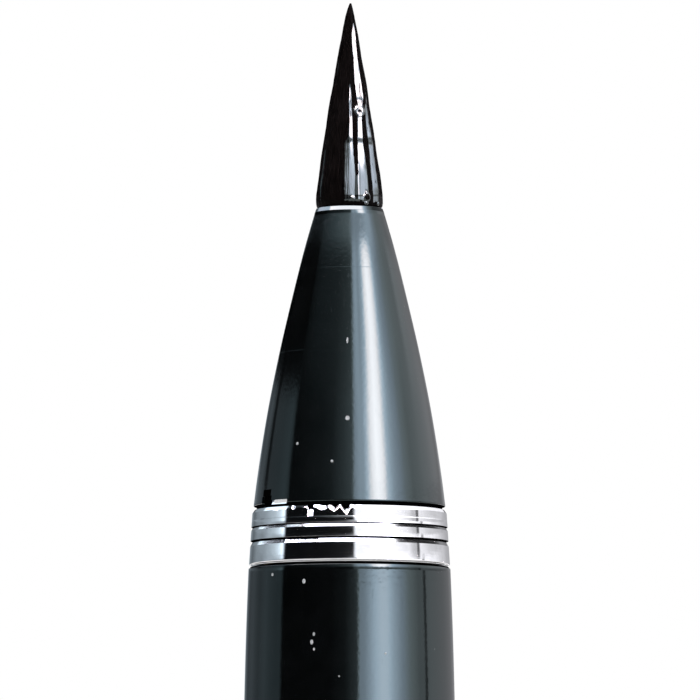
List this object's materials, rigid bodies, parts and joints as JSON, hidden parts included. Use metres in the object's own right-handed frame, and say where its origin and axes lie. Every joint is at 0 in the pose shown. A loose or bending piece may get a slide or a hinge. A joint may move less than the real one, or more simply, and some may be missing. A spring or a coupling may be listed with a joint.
{
  "type": "brush pen",
  "caption": "Slim cartridge-fed brush pen with a pointed hair tuft, tapered screw-off section, grooved trim ring, and its clip cap posted on the tail.",
  "frame": {"origin": "centre of the flat crown face of the posted cap, on which the pen stands", "axes": "+Z along the pen from the crown to the hair tip; -Y is the side of the pocket clip"},
  "size_m": [0.0138, 0.015, 0.148],
  "materials": {
    "gloss_black": "moulded, glossy, near black with fine handling scratches",
    "polished_metal": "turned and polished, bright plated",
    "hair": "tapered synthetic hair, wet with black ink",
    "binding_thread": "waxed thread",
    "sealant": "clear amber resin",
    "ferrule_steel": "drawn and tumbled",
    "wick_fibre": "bonded fibre, inked",
    "feed_black": "etched to hold ink",
    "seal_rubber": "satin",
    "bush_brass": "turned",
    "milky_plastic": "milky moulded",
    "sleeve_plastic": "plain moulded"
  },
  "bodies": {
    "barrel": {"barrel_tube": "gloss_black", "thread_bush": "bush_brass", "barrel_plug": "gloss_black"},
    "cap": {"cap_shell": "gloss_black", "cap_inner_sleeve": "sleeve_plastic", "cap_band": "polished_metal", "crown_finial": "gloss_black", "crown_washer": "polished_metal"},
    "clip": {"pocket_clip": "polished_metal"},
    "seal_ring": {"thread_seal_ring": "seal_rubber"},
    "section": {"section_shell": "gloss_black", "trim_ring": "polished_metal", "tuft_belly": "hair", "tuft_binding": "binding_thread", "tuft_root_bead": "sealant", "tuft_ferrule": "ferrule_steel", "ink_wick": "wick_fibre", "ink_collector": "feed_black", "cartridge_nipple": "feed_black"},
    "tuft_tip": {"tuft_point": "hair"},
    "cartridge": {"cartridge_body": "milky_plastic", "cartridge_mouth": "seal_rubber"},
    "ball": {"cartridge_ball": "ferrule_steel"}
  },
  "joints": [
    {"name": "cap_slide", "type": "slide", "parent": "barrel", "child": "cap", "axis": [0, 0, -1], "range_m": [0, 0.03]},
    {"name": "clip_flex", "type": "hinge", "parent": "cap", "child": "clip", "pos_m": [0, -0.0062, 0.0058], "axis": [1, 0, 0], "range_deg": [0, 6], "stiffness_Nm_per_rad": 0.5, "springref_deg": -1.72},
    {"name": "section_travel", "type": "slide", "parent": "barrel", "child": "seal_ring", "axis": [0, 0, 1], "range_m": [0, 0.0035]},
    {"name": "section_turn", "type": "hinge", "parent": "seal_ring", "child": "section", "pos_m": [0, 0, 0.1135], "axis": [0, 0, 1], "range_deg": [0, 1261]},
    {"name": "tuft_bend", "type": "hinge", "parent": "section", "child": "tuft_tip", "pos_m": [0, 0, 0.1395], "axis": [1, 0, 0], "range_deg": [-20, 20], "stiffness_Nm_per_rad": 0.0012},
    {"name": "cartridge_slide", "type": "slide", "parent": "section", "child": "cartridge", "axis": [0, 0, -1], "range_m": [0, 0.009]},
    {"name": "ball_slide", "type": "slide", "parent": "cartridge", "child": "ball", "axis": [0, 0, 1], "range_m": [0, 0.042]}
  ],
  "couplings": [
    {"joint": "section_turn", "follows": "section_travel", "rad_per_m": 6283.2}
  ]
}
